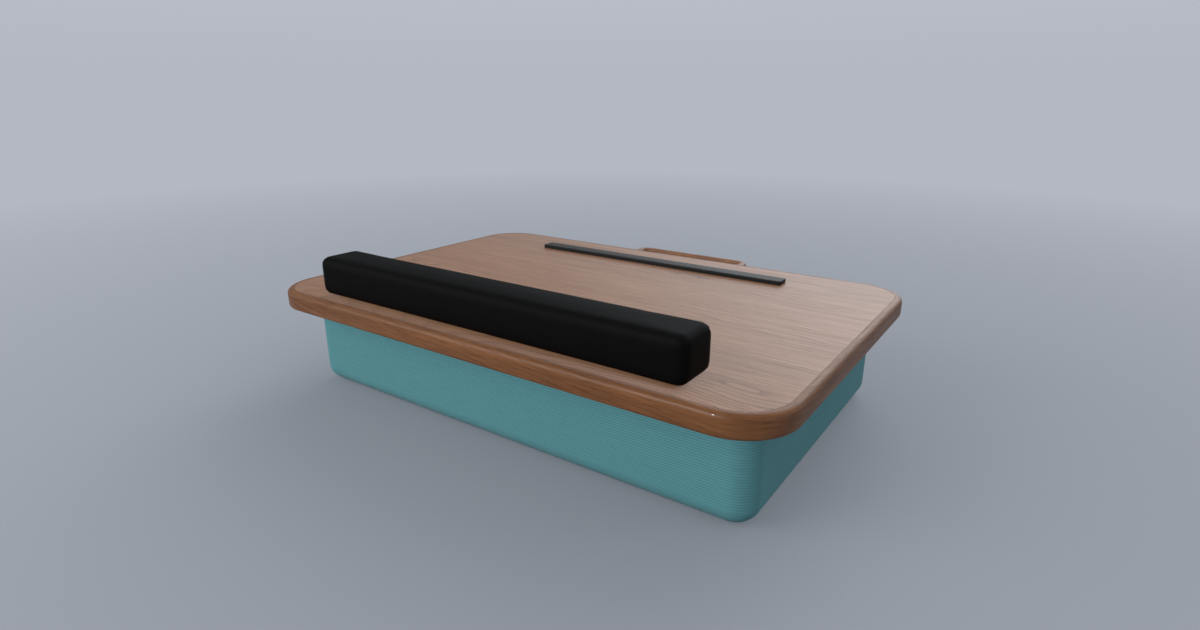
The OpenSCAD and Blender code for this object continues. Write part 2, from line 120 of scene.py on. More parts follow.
def make_sky():
    world = bpy.data.worlds.new("studio_sky")
    world.use_nodes = True
    nodes, links = world.node_tree.nodes, world.node_tree.links
    place = nodes.new("ShaderNodeTexCoord")
    toward = nodes.new("ShaderNodeVectorMath")
    toward.operation = "DOT_PRODUCT"
    toward.inputs[1].default_value = Vector(glow_aim).normalized()
    links.new(place.outputs["Generated"], toward.inputs[0])
    near = nodes.new("ShaderNodeMath")
    near.operation = "MAXIMUM"
    near.inputs[1].default_value = 0.0
    links.new(toward.outputs["Value"], near.inputs[0])
    focus = nodes.new("ShaderNodeMath")
    focus.operation = "POWER"
    focus.inputs[1].default_value = glow_focus
    links.new(near.outputs[0], focus.inputs[0])
    level = nodes.new("ShaderNodeMath")
    level.operation = "MULTIPLY_ADD"
    level.inputs[1].default_value = glow_level
    level.inputs[2].default_value = sky_level
    links.new(focus.outputs[0], level.inputs[0])
    light = nodes["Background"]
    light.inputs["Color"].default_value = sky_colour
    links.new(level.outputs[0], light.inputs["Strength"])
    split = nodes.new("ShaderNodeSeparateXYZ")
    links.new(place.outputs["Generated"], split.inputs[0])
    grade = nodes.new("ShaderNodeMapRange")
    grade.interpolation_type = "SMOOTHSTEP"
    grade.inputs["From Max"].default_value = backdrop_top
    links.new(split.outputs["Z"], grade.inputs["Value"])
    tint = nodes.new("ShaderNodeMix")
    tint.data_type = "RGBA"
    tint.inputs["A"].default_value = backdrop_low
    tint.inputs["B"].default_value = backdrop_high
    links.new(grade.outputs["Result"], tint.inputs["Factor"])
    backdrop = nodes.new("ShaderNodeBackground")
    links.new(tint.outputs["Result"], backdrop.inputs["Color"])
    seen = nodes.new("ShaderNodeLightPath")
    choose = nodes.new("ShaderNodeMixShader")
    links.new(seen.outputs["Is Camera Ray"], choose.inputs["Fac"])
    links.new(light.outputs[0], choose.inputs[1])
    links.new(backdrop.outputs[0], choose.inputs[2])
    links.new(choose.outputs[0], nodes["World Output"].inputs["Surface"])
    return world


bpy.context.scene.world = make_sky()


def new_material(name):
    """A material with a Principled shader; its nodes, links and shader."""
    material = bpy.data.materials.new(name)
    material.use_nodes = True
    nodes = material.node_tree.nodes
    return material, nodes, material.node_tree.links, nodes["Principled BSDF"]


def floor_finish():
    """Pale paper that fades into the backdrop far behind the desk."""
    material, nodes, links, shader = new_material("floor_paper")
    shader.inputs["Base Color"].default_value = floor_colour
    shader.inputs["Roughness"].default_value = 0.9
    shader.inputs["Specular IOR Level"].default_value = 0.1
    place = nodes.new("ShaderNodeTexCoord")
    reach = nodes.new("ShaderNodeVectorMath")
    reach.operation = "LENGTH"
    links.new(place.outputs["Object"], reach.inputs[0])
    fade = nodes.new("ShaderNodeMapRange")
    fade.inputs["From Min"].default_value = floor_fade_from
    fade.inputs["From Max"].default_value = floor_fade_to
    links.new(reach.outputs["Value"], fade.inputs["Value"])
    seen = nodes.new("ShaderNodeLightPath")
    amount = nodes.new("ShaderNodeMath")
    amount.operation = "MULTIPLY"
    links.new(fade.outputs["Result"], amount.inputs[0])
    links.new(seen.outputs["Is Camera Ray"], amount.inputs[1])
    backdrop = nodes.new("ShaderNodeEmission")
    backdrop.inputs["Color"].default_value = backdrop_low
    choose = nodes.new("ShaderNodeMixShader")
    links.new(amount.outputs[0], choose.inputs["Fac"])
    links.new(shader.outputs[0], choose.inputs[1])
    links.new(backdrop.outputs[0], choose.inputs[2])
    links.new(choose.outputs[0], nodes["Material Output"].inputs["Surface"])
    return material


bpy.ops.mesh.primitive_plane_add(size=2 * floor_half)
floor = bpy.context.object
floor.name = "floor"
floor.data.materials.append(floor_finish())

# Lid board. A flat veneered board, lacquered to a satin. Its grain runs from
# left to right, with a cathedral figure where the veneer leaf crossed the
# heart of the log.
wood_light = (0.325, 0.146, 0.062, 1.0)
wood_dark = (0.085, 0.032, 0.012, 1.0)


def group_with(name, inputs, outputs):
    """A shader node group with the sockets named; inputs hold their defaults."""
    group = bpy.data.node_groups.new(name, "ShaderNodeTree")
    for title, kind, value in inputs:
        socket = group.interface.new_socket(title, in_out="INPUT", socket_type=kind)
        if value is not None:
            socket.default_value = value
    for title, kind in outputs:
        group.interface.new_socket(title, in_out="OUTPUT", socket_type=kind)
    entry = group.nodes.new("NodeGroupInput")
    result = group.nodes.new("NodeGroupOutput")
    return group, entry, result


def arithmetic(tree, operation, *values, clamp=False):
    """A Math node fed with numbers or sockets; its output socket."""
    node = tree.nodes.new("ShaderNodeMath")
    node.operation = operation
    node.use_clamp = clamp
    for index, value in enumerate(values):
        if isinstance(value, (int, float)):
            node.inputs[index].default_value = value
        else:
            tree.links.new(value, node.inputs[index])
    return node.outputs[0]


def stretched(tree, vector, scale, place=(0, 0, 0), turn=(0, 0, 0)):
    """A vector socket scaled, turned and moved by a Mapping node."""
    node = tree.nodes.new("ShaderNodeMapping")
    node.inputs["Scale"].default_value = scale
    node.inputs["Location"].default_value = place
    node.inputs["Rotation"].default_value = turn
    tree.links.new(vector, node.inputs["Vector"])
    return node.outputs["Vector"]


def noise(tree, vector, scale, detail=2.0, roughness=0.5, distortion=0.0):
    """A Noise texture's value over a vector."""
    node = tree.nodes.new("ShaderNodeTexNoise")
    node.inputs["Scale"].default_value = scale
    node.inputs["Detail"].default_value = detail
    node.inputs["Roughness"].default_value = roughness
    node.inputs["Distortion"].default_value = distortion
    tree.links.new(vector, node.inputs["Vector"])
    return node.outputs["Fac"]


def blend_colour(tree, factor, first, second):
    """A colour Mix fed with colours or sockets; its output socket."""
    node = tree.nodes.new("ShaderNodeMix")
    node.data_type = "RGBA"
    for socket, value in (("Factor", factor), ("A", first), ("B", second)):
        if isinstance(value, (int, float, tuple)):
            node.inputs[socket].default_value = value
        else:
            tree.links.new(value, node.inputs[socket])
    return node.outputs["Result"]


def make_wood_grain():
    """Growth rings, fibres and pores for a vector in metres, grain along X."""
    group, entry, result = group_with(
        "wood_grain",
        [
            ("Vector", "NodeSocketVector", None),
            ("Light", "NodeSocketColor", (1, 1, 1, 1)),
            ("Dark", "NodeSocketColor", (0, 0, 0, 1)),
            ("Rings per Metre", "NodeSocketFloat", 150.0),
            ("Ring Strength", "NodeSocketFloat", 0.45),
            ("Fibre Strength", "NodeSocketFloat", 0.35),
        ],
        [("Color", "NodeSocketColor"), ("Height", "NodeSocketFloat"),
         ("Roughness", "NodeSocketFloat")],
    )
    vector = entry.outputs["Vector"]
    wander = noise(group, stretched(group, vector, (2.2, 9.0, 9.0)), 1.0, 3.0, 0.55)
    waver = noise(group, stretched(group, vector, (9.0, 60.0, 60.0)), 1.0, 2.0, 0.5)
    split = group.nodes.new("ShaderNodeSeparateXYZ")
    group.links.new(vector, split.inputs[0])
    wandered = arithmetic(group, "MULTIPLY", wander, 0.09)
    across = arithmetic(group, "ADD", split.outputs["Y"], wandered)
    depth = arithmetic(group, "MULTIPLY_ADD", split.outputs["X"], 0.12, split.outputs["Z"])
    across_squared = arithmetic(group, "POWER", arithmetic(group, "ABSOLUTE", across), 2.0)
    depth_squared = arithmetic(group, "POWER", arithmetic(group, "ABSOLUTE", depth), 2.0)
    radius = arithmetic(group, "SQRT", arithmetic(group, "ADD", across_squared, depth_squared))
    uneven = arithmetic(group, "MULTIPLY_ADD", waver, 0.006, radius)
    phase = arithmetic(group, "MULTIPLY", uneven, entry.outputs["Rings per Metre"])
    saw = arithmetic(group, "FRACT", phase)
    ring = arithmetic(group, "POWER", saw, 2.6)
    fade = noise(group, stretched(group, vector, (3.0, 14.0, 14.0), (7, 3, 1)), 1.0, 2.0)
    kept = arithmetic(group, "MULTIPLY_ADD", fade, 1.4, -0.2, clamp=True)
    ring = arithmetic(group, "MULTIPLY", ring, kept)
    fibre = noise(group, stretched(group, vector, (36.0, 560.0, 560.0)), 1.0, 4.0, 0.75)
    streak = noise(group, stretched(group, vector, (7.0, 120.0, 120.0), (3, 5, 2)), 1.0, 3.0, 0.6)
    pores = noise(group, stretched(group, vector, (120.0, 900.0, 900.0), (1, 8, 4)), 1.0, 2.0, 0.6)
    pore = arithmetic(group, "SUBTRACT", pores, 0.57, clamp=True)
    pore = arithmetic(group, "MULTIPLY", pore, 5.0, clamp=True)
    lines = arithmetic(group, "MULTIPLY", fibre, 0.55)
    lines = arithmetic(group, "MULTIPLY_ADD", streak, 0.45, lines)
    lines = arithmetic(group, "SUBTRACT", lines, 0.5)
    lines = arithmetic(group, "MULTIPLY_ADD", lines, 2.2, 0.5, clamp=True)
    darkness = arithmetic(
        group, "MULTIPLY_ADD", ring, entry.outputs["Ring Strength"],
        arithmetic(group, "MULTIPLY", lines, entry.outputs["Fibre Strength"]))
    darkness = arithmetic(group, "MULTIPLY_ADD", pore, 0.36, darkness, clamp=True)
    tone = noise(group, stretched(group, vector, (1.6, 12.0, 12.0), (2, 2, 9)), 1.0, 2.0)
    darkness = arithmetic(group, "SUBTRACT", darkness, 0.13)
    darkness = arithmetic(group, "MULTIPLY_ADD", tone, 0.30, darkness, clamp=True)
    colour = blend_colour(group, darkness, entry.outputs["Light"], entry.outputs["Dark"])
    height = arithmetic(group, "SUBTRACT", arithmetic(group, "MULTIPLY", lines, -0.35), pore)
    gloss = arithmetic(group, "MULTIPLY_ADD", darkness, 0.08, 0.33)
    gloss = arithmetic(group, "MULTIPLY_ADD", lines, 0.12, gloss)
    group.links.new(colour, result.inputs["Color"])
    group.links.new(height, result.inputs["Height"])
    group.links.new(gloss, result.inputs["Roughness"])
    return group


wood_grain = make_wood_grain()


def add_bump(nodes, links, shader, height, distance, strength=1.0):
    """A Bump node from a height socket to the shader's normal."""
    bump = nodes.new("ShaderNodeBump")
    bump.inputs["Distance"].default_value = distance
    bump.inputs["Strength"].default_value = strength
    links.new(height, bump.inputs["Height"])
    links.new(bump.outputs["Normal"], shader.inputs["Normal"])


def wood_finish(name, light, dark, rings, ring_strength, fibre_strength, gloss, coat,
                haze=0.0, attribute=None, shift=(0, 0, 0), glue_from=None):
    """Lacquered wood; attribute names the surface's own grain directions."""
    material, nodes, links, shader = new_material(name)
    if attribute:
        source = nodes.new("ShaderNodeAttribute")
        source.attribute_name = attribute
        vector = source.outputs["Vector"]
    else:
        vector = nodes.new("ShaderNodeTexCoord").outputs["Object"]
    grain = nodes.new("ShaderNodeGroup")
    grain.node_tree = wood_grain
    links.new(stretched(material.node_tree, vector, (1, 1, 1), shift), grain.inputs["Vector"])
    grain.inputs["Light"].default_value = light
    grain.inputs["Dark"].default_value = dark
    grain.inputs["Rings per Metre"].default_value = rings
    grain.inputs["Ring Strength"].default_value = ring_strength
    grain.inputs["Fibre Strength"].default_value = fibre_strength
    colour = grain.outputs["Color"]
    if glue_from is not None:
        split = nodes.new("ShaderNodeSeparateXYZ")
        links.new(vector, split.inputs[0])
        edge = nodes.new("ShaderNodeMapRange")
        edge.inputs["From Min"].default_value = glue_from
        edge.inputs["From Max"].default_value = glue_from + 0.4 * mm
        links.new(split.outputs["Y"], edge.inputs["Value"])
        glue = tuple(0.6 * c for c in dark[:3]) + (1.0,)
        colour = blend_colour(material.node_tree, edge.outputs["Result"], colour, glue)
    links.new(colour, shader.inputs["Base Color"])
    links.new(grain.outputs["Roughness"], shader.inputs["Roughness"])
    add_bump(nodes, links, shader, grain.outputs["Height"], 0.00008)
    shader.inputs["Specular IOR Level"].default_value = gloss
    shader.inputs["Coat Weight"].default_value = coat
    shader.inputs["Coat Roughness"].default_value = 0.09
    shader.inputs["Sheen Weight"].default_value = haze
    shader.inputs["Sheen Roughness"].default_value = 0.35
    return material


def dress(node, material):
    """Gives a CAD node's faces this material."""
    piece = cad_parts[node]
    if not piece.material_slots:
        piece.data.materials.append(material)
    for slot in piece.material_slots:
        slot.material = material


board_veneer = wood_finish(
    "board_veneer", wood_light, wood_dark, 230.0, 0.75, 0.55, 0.42, 0.08, 0.10,
    shift=(-0.22, 0.13, -0.104))
dress("lid_board", board_veneer)

# Edge lipping. A strip of solid wood steamed and bent round the board, glued
# to its edge and rounded over, more at the top than below. Its grain follows
# the outline, and the joint lies at the middle of the rear edge.
lid_corner = 46 * mm
lipping_t = 7 * mm
glue_line = 0.5 * mm
joint_chamfer = 0.25 * mm
lid_round = 4.6 * mm
lid_under_round = 3 * mm
lipping_light = (0.256, 0.104, 0.039, 1.0)
lipping_dark = (0.078, 0.029, 0.010, 1.0)


def add_block(name, low, high):
    """A cube at its size and place, with its object at the origin."""
    bpy.ops.object.select_all(action="DESELECT")
    centre = (Vector(low) + Vector(high)) / 2
    bpy.ops.mesh.primitive_cube_add(size=1, location=centre)
    piece = bpy.context.object
    piece.name = name
    piece.scale = Vector(high) - Vector(low)
    bpy.ops.object.transform_apply(location=True, rotation=True, scale=True)
    return piece


def edit(piece, mode):
    """Opens a piece in edit mode with nothing selected."""
    bpy.ops.object.select_all(action="DESELECT")
    bpy.context.view_layer.objects.active = piece
    piece.select_set(True)
    bpy.ops.object.mode_set(mode="EDIT")
    bpy.ops.mesh.select_mode(type=mode)
    bpy.ops.mesh.select_all(action="DESELECT")


def pick_edges(piece, test):
    """Edit mode with the edges selected whose two ends pass test(a, b)."""
    edit(piece, "EDGE")
    bpy.ops.object.mode_set(mode="OBJECT")
    points = [v.co.copy() for v in piece.data.vertices]
    for edge in piece.data.edges:
        edge.select = test(points[edge.vertices[0]], points[edge.vertices[1]])
    bpy.ops.object.mode_set(mode="EDIT")


def pick_faces(piece, test):
    """Edit mode with the faces selected that pass test(centre, normal)."""
    edit(piece, "FACE")
    bpy.ops.object.mode_set(mode="OBJECT")
    for face in piece.data.polygons:
        face.select = test(face.center, face.normal)
    bpy.ops.object.mode_set(mode="EDIT")


def leave_edit():
    bpy.ops.object.mode_set(mode="OBJECT")


def bevel(radius, segments):
    bpy.ops.mesh.bevel(
        offset=radius, segments=segments, affect="EDGES", profile=0.5, clamp_overlap=False)
    leave_edit()


def upright(a, b):
    return abs(a.z - b.z) > 1e-5 and (a.xy - b.xy).length < 1e-6


def level_at(height):
    return lambda a, b: abs(a.z - height) < 1e-5 and abs(b.z - height) < 1e-5


def facing(direction, height=None):
    """A test for faces that look along a direction, at a height if given."""
    aim = Vector(direction)

    def test(centre, normal):
        return normal.dot(aim) > 0.999 and (height is None or abs(centre.z - height) < 1e-5)
    return test


def smooth(piece, degrees=35):
    bpy.ops.object.select_all(action="DESELECT")
    bpy.context.view_layer.objects.active = piece
    piece.select_set(True)
    bpy.ops.object.shade_smooth_by_angle(angle=math.radians(degrees))


def outline_place(x, y, half_w, half_d, corner, side):
    """Length along a rounded outline from its front centre, and distance in."""
    flat_w = half_w - corner
    flat_d = half_d - corner
    over_x = abs(x) - flat_w
    over_y = abs(y) - flat_d
    quarter = flat_w + corner * math.pi / 2 + flat_d
    if over_x > 0 and over_y > 0:
        along = flat_w + corner * math.atan2(over_x, over_y)
        inward = corner - math.hypot(over_x, over_y)
    elif half_w - abs(x) < half_d - abs(y):
        along = flat_w + corner * math.pi / 2 - over_y
        inward = half_w - abs(x)
    else:
        along = abs(x)
        inward = half_d - abs(y)
    if y > 0:
        along = 2 * quarter - along
    return side * along, inward


def write_grain(piece, rule):
    """Stores rule(point, face) at each face corner as the attribute grain."""
    mesh = piece.data
    grain = mesh.attributes.new("grain", "FLOAT_VECTOR", "CORNER")
    for face in mesh.polygons:
        for loop in face.loop_indices:
            point = mesh.vertices[mesh.loops[loop].vertex_index].co
            grain.data[loop].vector = rule(point, face)


def make_lipping():
    low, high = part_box("edge_lipping")
    piece = add_block("edge_lipping_strip", low, high)
    pick_edges(piece, upright)
    bevel(lid_corner, 28)
    pick_edges(piece, level_at(high.z))
    bevel(lid_round, 7)
    pick_edges(piece, level_at(low.z))
    bevel(lid_under_round, 5)
    for height, direction, rounding in ((high.z, 1, lid_round), (low.z, -1, lid_under_round)):
        pick_faces(piece, facing((0, 0, direction), height))
        bpy.ops.mesh.inset(thickness=lipping_t - rounding)
        leave_edit()
    pick_faces(piece, lambda centre, normal: centre.xy.length < 1e-4 and abs(normal.z) > 0.999)
    bpy.ops.mesh.delete(type="FACE")
    bpy.ops.mesh.select_mode(type="EDGE")
    bpy.ops.mesh.select_non_manifold()
    bpy.ops.mesh.bridge_edge_loops()
    bpy.ops.mesh.select_all(action="SELECT")
    bpy.ops.mesh.bisect(plane_co=(0, 0, 0), plane_no=(1, 0, 0))
    bpy.ops.mesh.select_all(action="SELECT")
    bpy.ops.mesh.normals_make_consistent(inside=False)
    leave_edit()

    def at_joint(point):
        far = outline_place(point.x, point.y, high.x, high.y, lid_corner, 1)[1]
        return abs(point.z - high.z) < 1e-5 and abs(far - lipping_t) < 0.05 * mm
    pick_edges(piece, lambda a, b: at_joint(a) and at_joint(b))
    bevel(joint_chamfer, 1)

    def rule(point, face):
        side = 1 if face.center.x > 0 else -1
        along, inward = outline_place(point.x, point.y, high.x, high.y, lid_corner, side)
        return along, inward, point.z
    write_grain(piece, rule)
    smooth(piece)
    return piece


lipping = make_lipping()
lipping.data.materials.append(wood_finish(
    "lipping_wood", lipping_light, lipping_dark, 260.0, 0.5, 0.85, 0.22, 0.07,
    attribute="grain", shift=(0.3, 0.02, 0.01), glue_from=lipping_t - glue_line))
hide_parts("edge_lipping")
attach(lipping, "lid")

# Wrist rest. A firm foam bar wrapped in black leatherette, screwed from below
# through the board into its backing. The wrap is tight, with rounded edges.
rest_round = 8.3 * mm
rest_cell = 2.5 * mm
rest_swell = 0.7 * mm
rest_proud = 0.8 * mm
swell_frames = 20
leatherette_black = (0.0030, 0.0030, 0.0031, 1.0)


def make_fine_pebble():
    """A small pebbled grain for leatherette and rubber, in metres."""
    group, entry, result = group_with(
        "fine_pebble",
        [("Vector", "NodeSocketVector", None), ("Cell Size", "NodeSocketFloat", 0.0009)],
        [("Height", "NodeSocketFloat"), ("Wear", "NodeSocketFloat")],
    )
    per_cell = arithmetic(group, "DIVIDE", 1.0, entry.outputs["Cell Size"])
    cells = group.nodes.new("ShaderNodeTexVoronoi")
    cells.feature = "SMOOTH_F1"
    cells.inputs["Smoothness"].default_value = 0.6
    group.links.new(entry.outputs["Vector"], cells.inputs["Vector"])
    group.links.new(per_cell, cells.inputs["Scale"])
    creases = noise(group, entry.outputs["Vector"], 420.0, 3.0)
    height = arithmetic(group, "MULTIPLY", cells.outputs["Distance"], -1.0)
    height = arithmetic(group, "MULTIPLY_ADD", creases, 0.5, height)
    wear = noise(group, entry.outputs["Vector"], 14.0, 3.0, 0.6)
    group.links.new(height, result.inputs["Height"])
    group.links.new(wear, result.inputs["Wear"])
    return group


fine_pebble = make_fine_pebble()


def pebbled_finish(name, colour, cell, depth, rough_low, rough_high, gloss):
    material, nodes, links, shader = new_material(name)
    shader.inputs["Specular IOR Level"].default_value = gloss
    place = nodes.new("ShaderNodeTexCoord")
    pebble = nodes.new("ShaderNodeGroup")
    pebble.node_tree = fine_pebble
    pebble.inputs["Cell Size"].default_value = cell
    links.new(place.outputs["Object"], pebble.inputs["Vector"])
    tree = material.node_tree
    worn = tuple(min(1.0, 1.35 * c) for c in colour[:3]) + (1.0,)
    links.new(blend_colour(tree, pebble.outputs["Wear"], colour, worn), shader.inputs["Base Color"])
    span = rough_high - rough_low
    roughness = arithmetic(tree, "MULTIPLY_ADD", pebble.outputs["Wear"], span, rough_low)
    links.new(roughness, shader.inputs["Roughness"])
    add_bump(nodes, links, shader, pebble.outputs["Height"], depth)
    return material


def run_modifier(piece, kind, **settings):
    """Adds a modifier with these settings and applies it."""
    bpy.ops.object.select_all(action="DESELECT")
    bpy.context.view_layer.objects.active = piece
    piece.select_set(True)
    bpy.ops.object.modifier_add(type=kind)
    modifier = piece.modifiers[-1]
    for title, value in settings.items():
        setattr(modifier, title, value)
    bpy.ops.object.modifier_apply(modifier=modifier.name)


def swell(piece, cell, greatest):
    """Lets the filling press the cover out as cloth, then scales the swell."""
    run_modifier(piece, "REMESH", mode="VOXEL", voxel_size=cell)
    before = [point.co.copy() for point in piece.data.vertices]
    bpy.ops.object.modifier_add(type="CLOTH")
    cloth = piece.modifiers[-1]
    cloth.settings.use_pressure = True
    cloth.settings.uniform_pressure_force = 4
    cloth.settings.tension_stiffness = 40
    cloth.settings.compression_stiffness = 40
    cloth.settings.effector_weights.gravity = 0
    cloth.point_cache.frame_start = 1
    cloth.point_cache.frame_end = swell_frames
    for step in range(1, swell_frames + 1):
        bpy.context.scene.frame_set(step)
    bpy.ops.object.modifier_apply(modifier=cloth.name)
    bpy.context.scene.frame_set(1)
    moves = [point.co - start for point, start in zip(piece.data.vertices, before)]
    part = greatest / max(move.length for move in moves)
    for point, start, move in zip(piece.data.vertices, before, moves):
        point.co = start + part * move


def fit_to(piece, low, high):
    """Stretches a piece a little, so it just fills the space from low to high."""
    points = [point.co.copy() for point in piece.data.vertices]
    for axis in range(3):
        least = min(point[axis] for point in points)
        most = max(point[axis] for point in points)
        ratio = (high[axis] - low[axis]) / (most - least)
        for point in piece.data.vertices:
            point.co[axis] = low[axis] + ratio * (point.co[axis] - least)


def make_wrist_rest():
    low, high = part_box("wrist_rest_pad")
    piece = add_block("wrist_rest", low, high)
    pick_edges(piece, lambda a, b: True)
    bevel(rest_round, 9)
    swell(piece, rest_cell, rest_swell)
    side = Vector((rest_proud, rest_proud, 0))
    fit_to(piece, low - side, high + side + Vector((0, 0, rest_proud)))
    smooth(piece, 60)
    return piece


wrist_rest = make_wrist_rest()
wrist_rest.data.materials.append(
    pebbled_finish("leatherette", leatherette_black, 0.0008, 0.00012, 0.50, 0.62, 0.03))
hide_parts("wrist_rest_pad")
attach(wrist_rest, "lid")
# The lacquer in front of the pad mirrors the studio glow, not the black pad.
wrist_rest.visible_glossy = False

# Stop strip. A black rubber bar, pressed by its tongue into a groove in the
# board, that keeps a screen or a book from sliding off the back.
strip_corner = 2 * mm
strip_round = 0.8 * mm
strip_h = 4.2 * mm
rubber_black = (0.004, 0.004, 0.0042, 1.0)


def make_stop_strip():
    low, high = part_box("stop_strip")
    low.z = high.z - strip_h
    piece = add_block("stop_strip_bar", low, high)
    pick_edges(piece, upright)
    bevel(strip_corner, 6)
    pick_edges(piece, level_at(high.z))
    bevel(strip_round, 4)
    smooth(piece)
    return piece


strip = make_stop_strip()
rubber = pebbled_finish("strip_rubber", rubber_black, 0.0006, 0.00005, 0.45, 0.55, 0.2)
strip.data.materials.append(rubber)
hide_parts("stop_strip")
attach(strip, "lid")

# Carry handle. A D-shaped wooden handle behind the lid, bent from one square
# stick with rounded edges. Its arms pass through the lipping and are dowelled
# into the board.
handle_bar = 9 * mm
handle_round = 3 * mm
handle_corner = 13.5 * mm
bend_steps = 12


def make_handle():
    low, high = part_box("carry_handle")
    arm_x = high.x - handle_bar / 2
    bend_y = high.y - handle_corner
    bar_half = high.x - handle_corner
    centre_z = (low.z + high.z) / 2
    piece = add_block(
        "handle_grip", (arm_x - handle_bar / 2, low.y, low.z), (high.x, bend_y, high.z))
    pick_edges(piece, lambda a, b: abs(a.y - b.y) > 1e-5)
    bevel(handle_round, 5)

    def bend_round(centre_x, test):
        pick_faces(piece, test)
        bpy.ops.mesh.spin(
            steps=bend_steps, angle=math.pi / 2, center=(centre_x, bend_y, centre_z),
            axis=(0, 0, -1))
        leave_edit()

    def run_on(move, test):
        pick_faces(piece, test)
        bpy.ops.mesh.extrude_region_move(TRANSFORM_OT_translate={"value": move})
        leave_edit()

    bend_round(bar_half, lambda c, n: abs(n.y) > 0.999 and abs(c.y - bend_y) < 1e-5)
    run_on((-2 * bar_half, 0, 0), lambda c, n: abs(n.x) > 0.999 and abs(c.x - bar_half) < 1e-5)
    bend_round(-bar_half, lambda c, n: abs(n.x) > 0.999 and abs(c.x + bar_half) < 1e-5)
    run_on((0, low.y - bend_y, 0),
           lambda c, n: abs(n.y) > 0.999 and c.x < 0 and abs(c.y - bend_y) < 1e-5)
    edit(piece, "VERT")
    bpy.ops.mesh.select_all(action="SELECT")
    bpy.ops.mesh.remove_doubles(threshold=1e-6)
    bpy.ops.mesh.normals_make_consistent(inside=False)
    leave_edit()

    def rule(point, face):
        along, inward = outline_place(point.x, point.y, high.x, high.y, handle_corner, 1)
        return (along if point.x > 0 else -along), inward, point.z
    write_grain(piece, rule)
    smooth(piece)
    return piece


handle = make_handle()
handle.data.materials.append(wood_finish(
    "handle_wood", lipping_light, lipping_dark, 300.0, 0.5, 0.85, 0.28, 0.06,
    attribute="grain", shift=(1.3, 0.4, 0.2)))
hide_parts("carry_handle")
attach(handle, "lid")

# Padded cover. Teal ribbed cloth drawn over foam, round the sides and the
# bottom edge, with a hem that is turned in over the walls and clamped by the
# rim. The same piece stands for the foam that fills it.
box_corner = 20 * mm
box_bottom_round = 16.5 * mm
cover_t = 7 * mm
rib_pitch = 2.2 * mm
cloth_teal = (0.099, 0.276, 0.300, 1.0)
# The darker teal serves both the slubs' own tone and the painted shade in the weave's valleys.
cloth_slub_and_valley_shade = (0.070, 0.204, 0.223, 1.0)


def make_rib_weave():
    """Cloth ribs across Y and threads across X, for a vector in metres. Its shade output is painted
    shade, darker where the ribs and threads dip, plus the slubs' own darker tone.
    """
    group, entry, result = group_with(
        "rib_weave",
        [("Vector", "NodeSocketVector", None), ("Rib Pitch", "NodeSocketFloat", 0.002),
         ("Thread Pitch", "NodeSocketFloat", 0.0011)],
        [("Height", "NodeSocketFloat"), ("Valley Shade and Slub", "NodeSocketFloat")],
    )
    waver = noise(group, stretched(group, entry.outputs["Vector"], (6.0, 22.0, 22.0)), 1.0, 2.0)
    split = group.nodes.new("ShaderNodeSeparateXYZ")
    group.links.new(entry.outputs["Vector"], split.inputs[0])
    across = arithmetic(group, "MULTIPLY_ADD", waver, 0.0016, split.outputs["Y"])
    rib_phase = arithmetic(group, "DIVIDE", across, entry.outputs["Rib Pitch"])
    rib = arithmetic(group, "SINE", arithmetic(group, "MULTIPLY", rib_phase, math.pi))
    rib = arithmetic(group, "ABSOLUTE", rib)
    row = arithmetic(group, "FLOOR", rib_phase)
    shift = arithmetic(group, "MULTIPLY", row, 0.5)
    threads = arithmetic(group, "DIVIDE", split.outputs["X"], entry.outputs["Thread Pitch"])
    thread_phase = arithmetic(group, "ADD", threads, shift)
    thread = arithmetic(group, "SINE", arithmetic(group, "MULTIPLY", thread_phase, math.pi))
    thread = arithmetic(group, "ABSOLUTE", thread)
    fuzz = noise(group, entry.outputs["Vector"], 2500.0, 2.0)
    height = arithmetic(group, "MULTIPLY_ADD", thread, 0.35, rib)
    height = arithmetic(group, "MULTIPLY_ADD", fuzz, 0.25, height)
    slub = noise(group, stretched(group, entry.outputs["Vector"], (40.0, 420.0, 1.0)), 1.0, 2.0)
    # Painted shade: the colour darkens where the weave dips, in the rib and thread valleys; the
    # slubs add their own darker tone.
    valley_shade_and_slub = arithmetic(group, "MULTIPLY_ADD", height, -0.5, 0.55)
    valley_shade_and_slub = arithmetic(group, "MULTIPLY_ADD", slub, 0.55, valley_shade_and_slub, clamp=True)
    group.links.new(height, result.inputs["Height"])
    group.links.new(valley_shade_and_slub, result.inputs["Valley Shade and Slub"])
    return group


def cloth_finish():
    material, nodes, links, shader = new_material("teal_cloth")
    source = nodes.new("ShaderNodeAttribute")
    source.attribute_name = "grain"
    weave = nodes.new("ShaderNodeGroup")
    weave.node_tree = make_rib_weave()
    weave.inputs["Rib Pitch"].default_value = rib_pitch
    weave.inputs["Thread Pitch"].default_value = rib_pitch / 2
    links.new(source.outputs["Vector"], weave.inputs["Vector"])
    # The base colour carries the weave's painted valley shade and its slub tone.
    links.new(blend_colour(material.node_tree, weave.outputs["Valley Shade and Slub"], cloth_teal, cloth_slub_and_valley_shade),
              shader.inputs["Base Color"])
    add_bump(nodes, links, shader, weave.outputs["Height"], 0.00022)
    shader.inputs["Roughness"].default_value = 0.78
    shader.inputs["Sheen Weight"].default_value = 0.06
    shader.inputs["Sheen Roughness"].default_value = 0.4
    shader.inputs["Specular IOR Level"].default_value = 0.12
    return material


